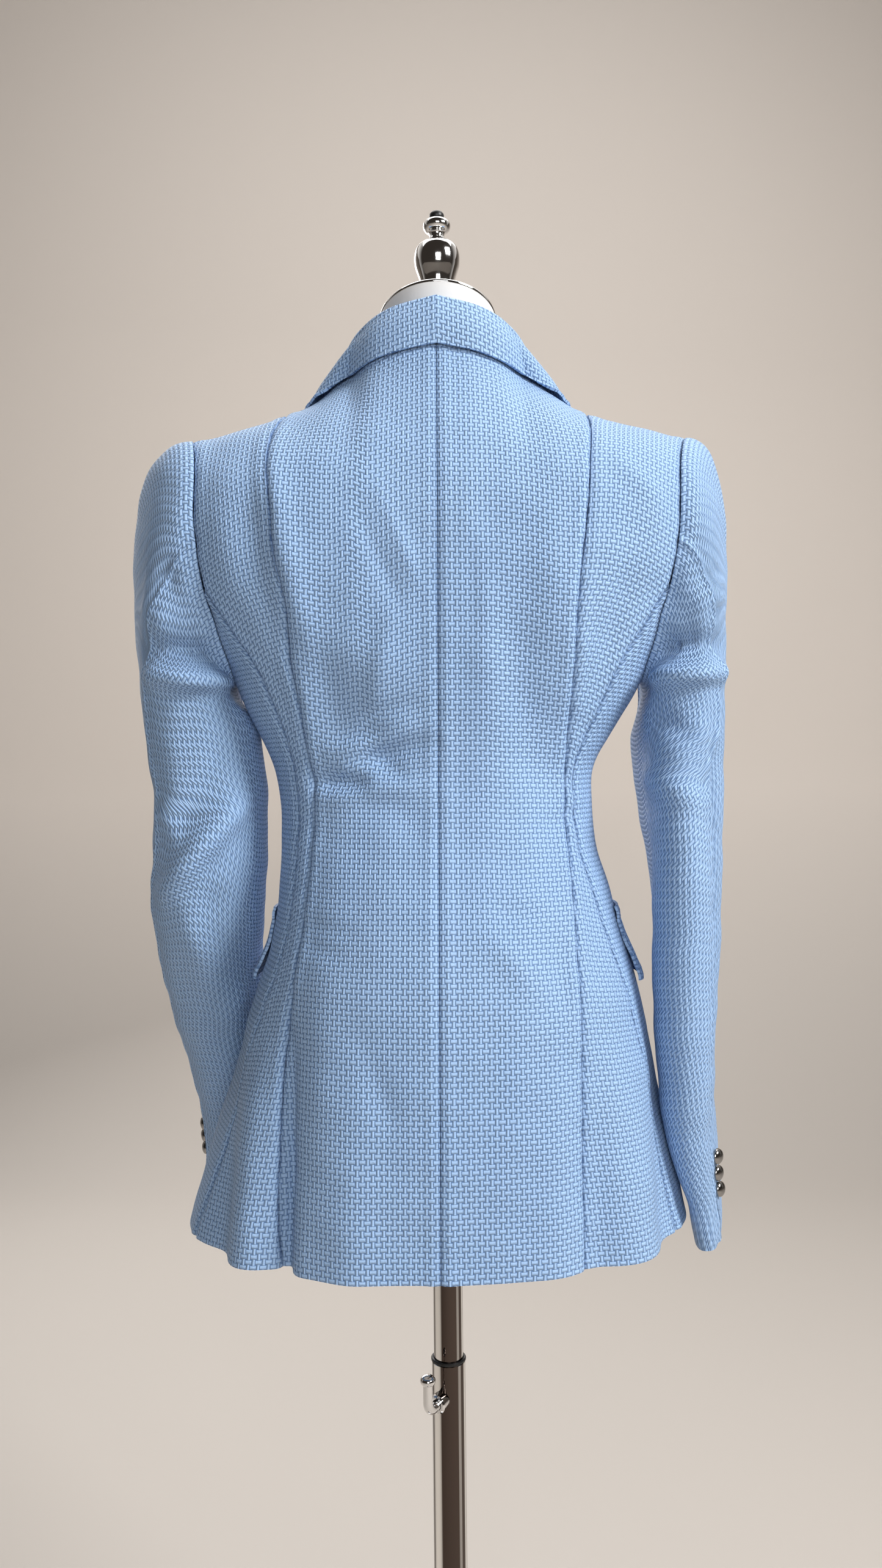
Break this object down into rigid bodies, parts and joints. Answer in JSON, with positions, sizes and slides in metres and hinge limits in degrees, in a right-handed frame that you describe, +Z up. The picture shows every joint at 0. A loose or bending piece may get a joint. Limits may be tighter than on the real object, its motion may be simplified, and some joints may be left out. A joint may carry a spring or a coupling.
{
  "type": "blazer on a dress form",
  "caption": "Fitted hip-length blazer with notched lapels, flap pockets and vented cuffs, worn by a limbless dress form on a round-based pole stand.",
  "frame": {"origin": "centre of the base's underside, on the floor and on the pole's axis", "axes": "+Z up along the pole, +X towards the wearer's left, the fronts of the blazer face -Y"},
  "size_m": [0.4578, 0.3493, 1.526],
  "materials": {
    "cloth": "textured weave with a slight sheen",
    "form": "smooth, off-white",
    "chrome": "polished",
    "button": "dark polished metal",
    "black": "satin"
  },
  "bodies": {
    "stand": {"base": "chrome", "outer_pole": "chrome", "pole_ring": "black", "clamp_boss": "chrome"},
    "hook": {"clamp_hook": "chrome"},
    "pole": {"inner_pole": "chrome"},
    "torso": {"collar": "cloth", "dress_form": "form", "finial": "chrome", "finial_knob": "black", "front_button": "button", "left_back": "cloth", "left_cuff_button_1": "button", "left_cuff_button_2": "button", "left_cuff_button_3": "button", "left_front": "cloth", "left_lapel": "cloth", "left_pocket_flap": "cloth", "left_pocket_welt": "cloth", "left_side": "cloth", "left_side_back": "cloth", "left_under_sleeve": "cloth", "left_upper_sleeve": "cloth", "neck_cap": "chrome", "right_back": "cloth", "right_cuff_button_1": "button", "right_cuff_button_2": "button", "right_cuff_button_3": "button", "right_front": "cloth", "right_lapel": "cloth", "right_pocket_flap": "cloth", "right_pocket_welt": "cloth", "right_side": "cloth", "right_side_back": "cloth", "right_under_sleeve": "cloth", "right_upper_sleeve": "cloth"}
  },
  "joints": [
    {"name": "pole_height", "type": "slide", "parent": "stand", "child": "pole", "axis": [0, 0, 1], "range_m": [-0.12, 0.12]},
    {"name": "form_swivel", "type": "hinge", "parent": "pole", "child": "torso", "pos_m": [0, 0, 0.835], "axis": [0, 0, 1], "continuous": true},
    {"name": "clamp_screw", "type": "hinge", "parent": "stand", "child": "hook", "pos_m": [0, 0, 0.625], "axis": [0.4695, 0.8829, 0], "continuous": true}
  ]
}
